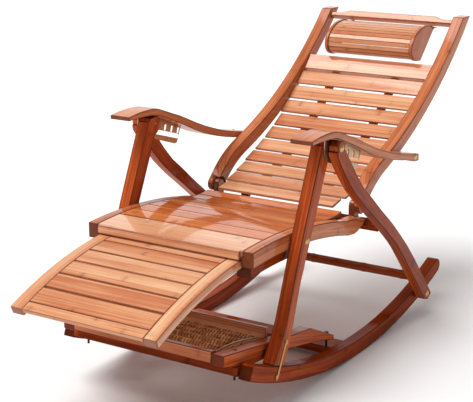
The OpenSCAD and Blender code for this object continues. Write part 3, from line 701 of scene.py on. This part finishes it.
# %% Hardware
METAL_EDGE = {"radius": 0.0003, "rim": 0.0006, "corner": 40}
HARDWARE = [
    ("rocker_bolts", "brass"), ("top_pivot_bolts", "brass"), ("rack_pins", "brass"),
    ("seat_pivot_bolts", "brass"), ("back_pivot_pins", "brass"), ("arm_pivot_bolts", "brass"),
    ("hook_screws", "brass"), ("hook_pins", "brass"), ("left_hook", "brass"), ("right_hook", "brass"),
    ("pillow_hinges", "brass"), ("pillow_hinge_leaves", "brass"), ("tray_bolts", "black_screw"),
]
RACK_PLATES = ["left_rack_plate", "right_rack_plate"]


def stamped(node, slot):
    """A sheet keeps its crisp edges, with its flat faces told apart from its round ones."""
    bm = merged_copy(node)
    smooth_faces(bm)
    for edge in bm.edges:
        edge.smooth = len(edge.link_faces) == 2 and edge.calc_face_angle(0) < math.radians(CORNER)
    map_grain(bm, level_way, False, node)
    finish_piece(bm, node, "_stamped", slot, even_shading=False)


for node, slot in HARDWARE:
    eased(node, slot, level_way, **METAL_EDGE)
for node in RACK_PLATES:
    stamped(node, "rack_steel")
print("metal pieces:", len(HARDWARE) + len(RACK_PLATES))

# %% [markdown]
# Spinning round pieces
# The pole and the rollers are turned shapes, so each is an outline of (x, radius) points spun once
# round the X axis. An outline that starts and ends on the axis makes a solid, and a closed one
# makes a ring with a bore.

# %% Spinning
SEAM_GAP = 0.000001


def spin_outline(bm, outline, steps, closed=False):
    verts = [bm.verts.new((x, 0, r)) for x, r in outline]
    following = verts[1:] + verts[:1] if closed else verts[1:]
    edges = [bm.edges.new(pair) for pair in zip(verts, following)]
    bmesh.ops.spin(bm, geom=verts + edges, cent=(0, 0, 0), axis=(1, 0, 0), angle=2 * math.pi,
                   steps=steps, use_merge=True)


def finish_spun(bm, node, middle, ending, slot):
    """Closes the spun skin, moves it into place and dresses it."""
    bmesh.ops.remove_doubles(bm, verts=bm.verts, dist=SEAM_GAP)
    bmesh.ops.recalc_face_normals(bm, faces=bm.faces)
    smooth_faces(bm)
    bmesh.ops.translate(bm, verts=bm.verts, vec=middle)
    map_grain(bm, level_way, True, node)
    finish_piece(bm, node, ending, slot)


def middle_and_half(node):
    """The middle of a node's box, and half its width."""
    low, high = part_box(node)
    return [(a + b) / 2 for a, b in zip(low, high)], (high[0] - low[0]) / 2


print("the pole's middle:", [round(c, 3) for c in middle_and_half("bamboo_pole")[0]])

# %% [markdown]
# The bamboo pole
# Between the rear legs runs a whole cane, and a cane gives itself away by its joints: the wall
# swells to a ring, with a fine groove beside it. The outline has such a ring at each joint.

# %% Pole
CANE_STEPS = 40
CANE_THIN, CANE_THICK = 0.0128, 0.0139
POLE_JOINTS = (-0.19, -0.03, 0.14, 0.265)


def bamboo_cane(node, joints):
    thin, thick = CANE_THIN, CANE_THICK
    middle, half = middle_and_half(node)
    outline = [(-half, 0), (-half, thin)]
    for x in joints:
        outline += [(x - 0.012, thin), (x - 0.004, thin + 0.0005), (x - 0.0015, thick),
                    (x + 0.0005, thick), (x + 0.0015, thin + 0.0002), (x + 0.0035, thick - 0.0003),
                    (x + 0.010, thin)]
    outline += [(half, thin), (half, 0)]
    bm = bmesh.new()
    spin_outline(bm, outline, CANE_STEPS)
    finish_spun(bm, node, middle, "_cane", "pole_bamboo")
    print("the pole is", round(2 * half, 3), "m long")


bamboo_cane("bamboo_pole", POLE_JOINTS)

# %% [markdown]
# The foot rollers
# Each roller is a slim axle that carries two rows of turned bamboo beads, one on each side of the
# middle rib. A bead is a small barrel, and its closed outline is spun once for each bead, at an
# even pitch along the axle. Every bead gets its own tone, so the rows sparkle a little unevenly.

# %% Rollers
ROLLERS = 5
BEADS_IN_ROW = 21
FIRST_BEAD = 0.0114
BEAD_PITCH = 0.00866
BEAD_OUTLINE = [(-0.0039, 0.0032), (-0.0039, 0.0078), (-0.0034, 0.0097), (-0.0018, 0.0108),
                (0.0018, 0.0108), (0.0034, 0.0097), (0.0039, 0.0078), (0.0039, 0.0032)]
BEAD_STEPS = 18
AXLE = 0.003


def beaded_roller(node):
    middle, half = middle_and_half(node)
    bm = bmesh.new()
    for side in (-1, 1):
        for k in range(BEADS_IN_ROW):
            x = side * (FIRST_BEAD + k * BEAD_PITCH)
            spin_outline(bm, [(x + dx, r) for dx, r in BEAD_OUTLINE], BEAD_STEPS, closed=True)
    spin_outline(bm, [(-half, 0), (-half, AXLE), (half, AXLE), (half, 0)], BEAD_STEPS)
    finish_spun(bm, node, (0, middle[1], middle[2]), "_beads", "roller_bamboo")


for number in range(1, ROLLERS + 1):
    beaded_roller("roller_%d" % number)
print("beads on the rollers:", ROLLERS * 2 * BEADS_IN_ROW)
